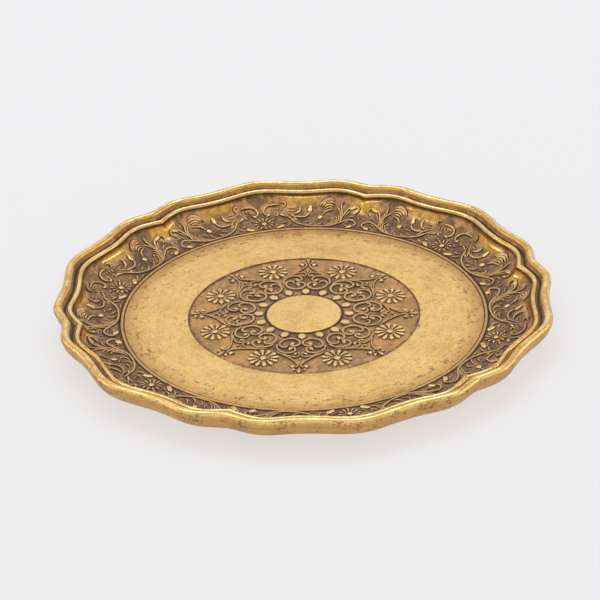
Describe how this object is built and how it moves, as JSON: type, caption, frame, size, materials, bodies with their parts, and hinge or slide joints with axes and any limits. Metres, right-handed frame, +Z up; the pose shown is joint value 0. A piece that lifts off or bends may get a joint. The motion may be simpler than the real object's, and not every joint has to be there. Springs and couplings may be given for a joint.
{
  "type": "candle plate",
  "caption": "Round candle plate with a scalloped, rolled rim, a scroll frieze in the hollow moulding and a rosette medallion round a plain candle seat.",
  "frame": {"origin": "on the table, under the centre of the plate", "axes": "+Z up, +X through a main lobe of the rim and a finial of the medallion"},
  "size_m": [0.33, 0.323, 0.0228],
  "materials": {
    "antique_gold": "moulded resin, gilt, with a dark brown patina rubbed into the hollows",
    "felt": "dark brown pressed felt"
  },
  "bodies": {
    "root": {"plate": "antique_gold", "felt_pad_1": "felt", "felt_pad_2": "felt", "felt_pad_3": "felt", "felt_pad_4": "felt"}
  },
  "joints": []
}
